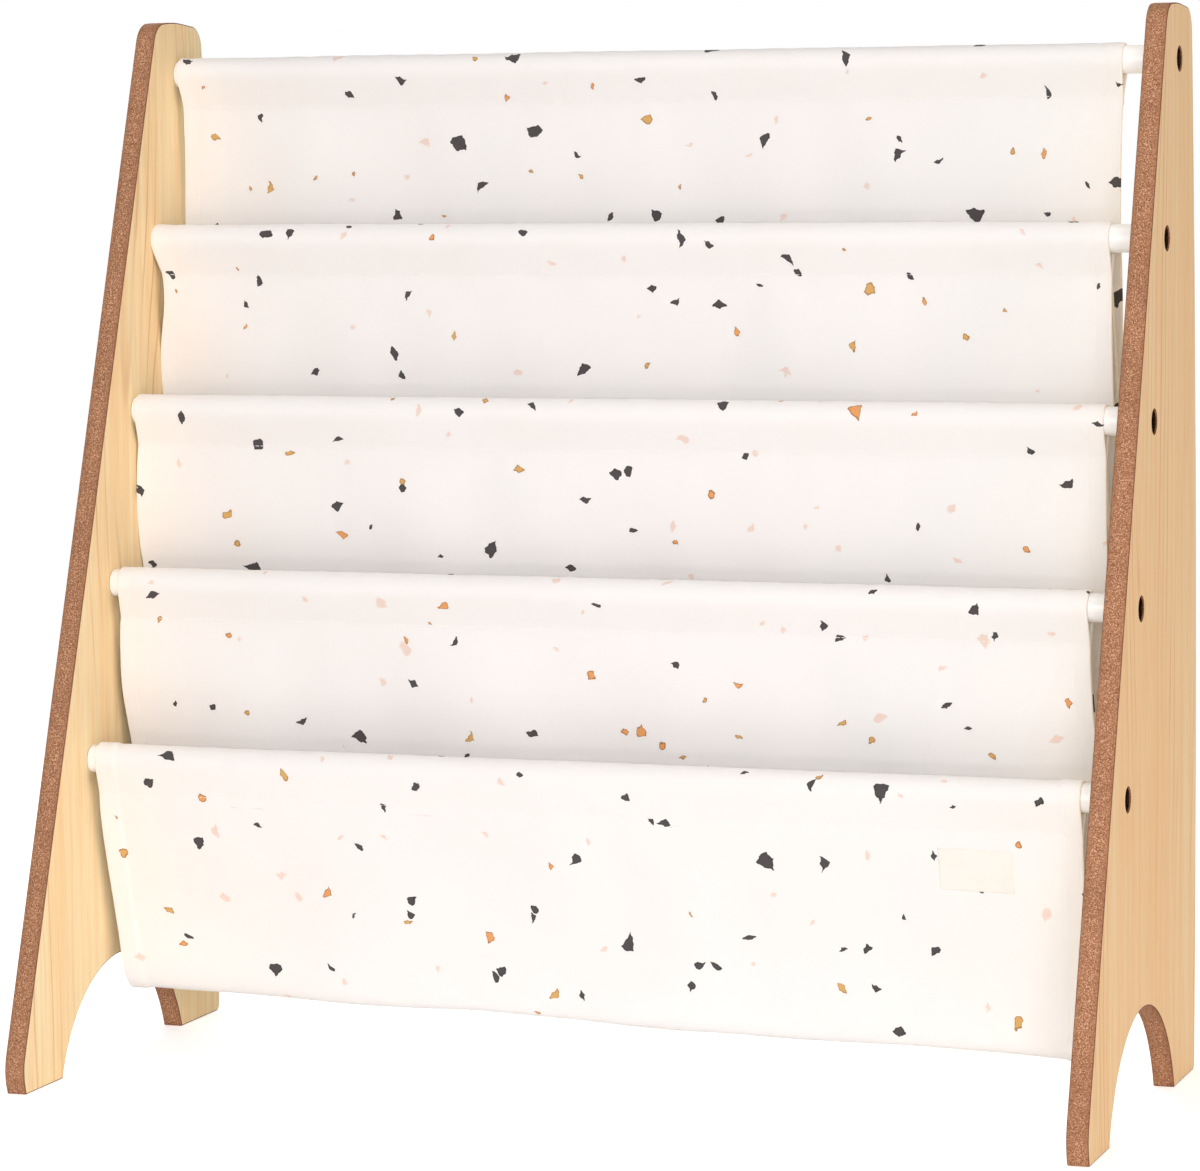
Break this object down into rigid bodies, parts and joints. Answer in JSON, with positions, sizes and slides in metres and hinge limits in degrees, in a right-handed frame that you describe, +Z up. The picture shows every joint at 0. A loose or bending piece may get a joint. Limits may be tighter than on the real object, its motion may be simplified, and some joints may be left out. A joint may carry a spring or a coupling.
{
  "type": "sling bookshelf",
  "caption": "Low freestanding bookshelf for children: two leaning board sides, round cross rods, and a cloth sling stitched round the rods that hangs in deep book pockets.",
  "frame": {"origin": "on the floor, under the middle of the shelf's bounding box", "axes": "+X along the rods towards the right panel, +Y to the back, +Z up; the pockets open upwards and the cloth faces -Y"},
  "size_m": [0.626, 0.273, 0.61],
  "materials": {
    "panel_laminate": "satin maple laminate, brown board edges",
    "rod_paint": "satin white paint",
    "bolt_bronze": "dark bronze plating",
    "insert_zinc": "zinc plating",
    "sling_cloth": "matt plain weave, printed chips",
    "label_cloth": "smooth woven tape, bare"
  },
  "bodies": {
    "root": {"side_panel_left": "panel_laminate", "side_panel_right": "panel_laminate", "rod_1": "rod_paint", "rod_2": "rod_paint", "rod_3": "rod_paint", "rod_4": "rod_paint", "rod_5": "rod_paint", "panel_bolt_left_1": "bolt_bronze", "rod_insert_left_1": "insert_zinc", "panel_bolt_left_2": "bolt_bronze", "rod_insert_left_2": "insert_zinc", "panel_bolt_left_3": "bolt_bronze", "rod_insert_left_3": "insert_zinc", "panel_bolt_left_4": "bolt_bronze", "rod_insert_left_4": "insert_zinc", "panel_bolt_left_5": "bolt_bronze", "rod_insert_left_5": "insert_zinc", "panel_bolt_right_1": "bolt_bronze", "rod_insert_right_1": "insert_zinc", "panel_bolt_right_2": "bolt_bronze", "rod_insert_right_2": "insert_zinc", "panel_bolt_right_3": "bolt_bronze", "rod_insert_right_3": "insert_zinc", "panel_bolt_right_4": "bolt_bronze", "rod_insert_right_4": "insert_zinc", "panel_bolt_right_5": "bolt_bronze", "rod_insert_right_5": "insert_zinc", "sling_sleeve_1": "sling_cloth", "sling_sleeve_2": "sling_cloth", "sling_sleeve_3": "sling_cloth", "sling_sleeve_4": "sling_cloth", "sling_sleeve_5": "sling_cloth", "sling_pocket_1": "sling_cloth", "sling_pocket_2": "sling_cloth", "sling_pocket_3": "sling_cloth", "sling_pocket_4": "sling_cloth", "sling_label": "label_cloth"}
  },
  "joints": []
}
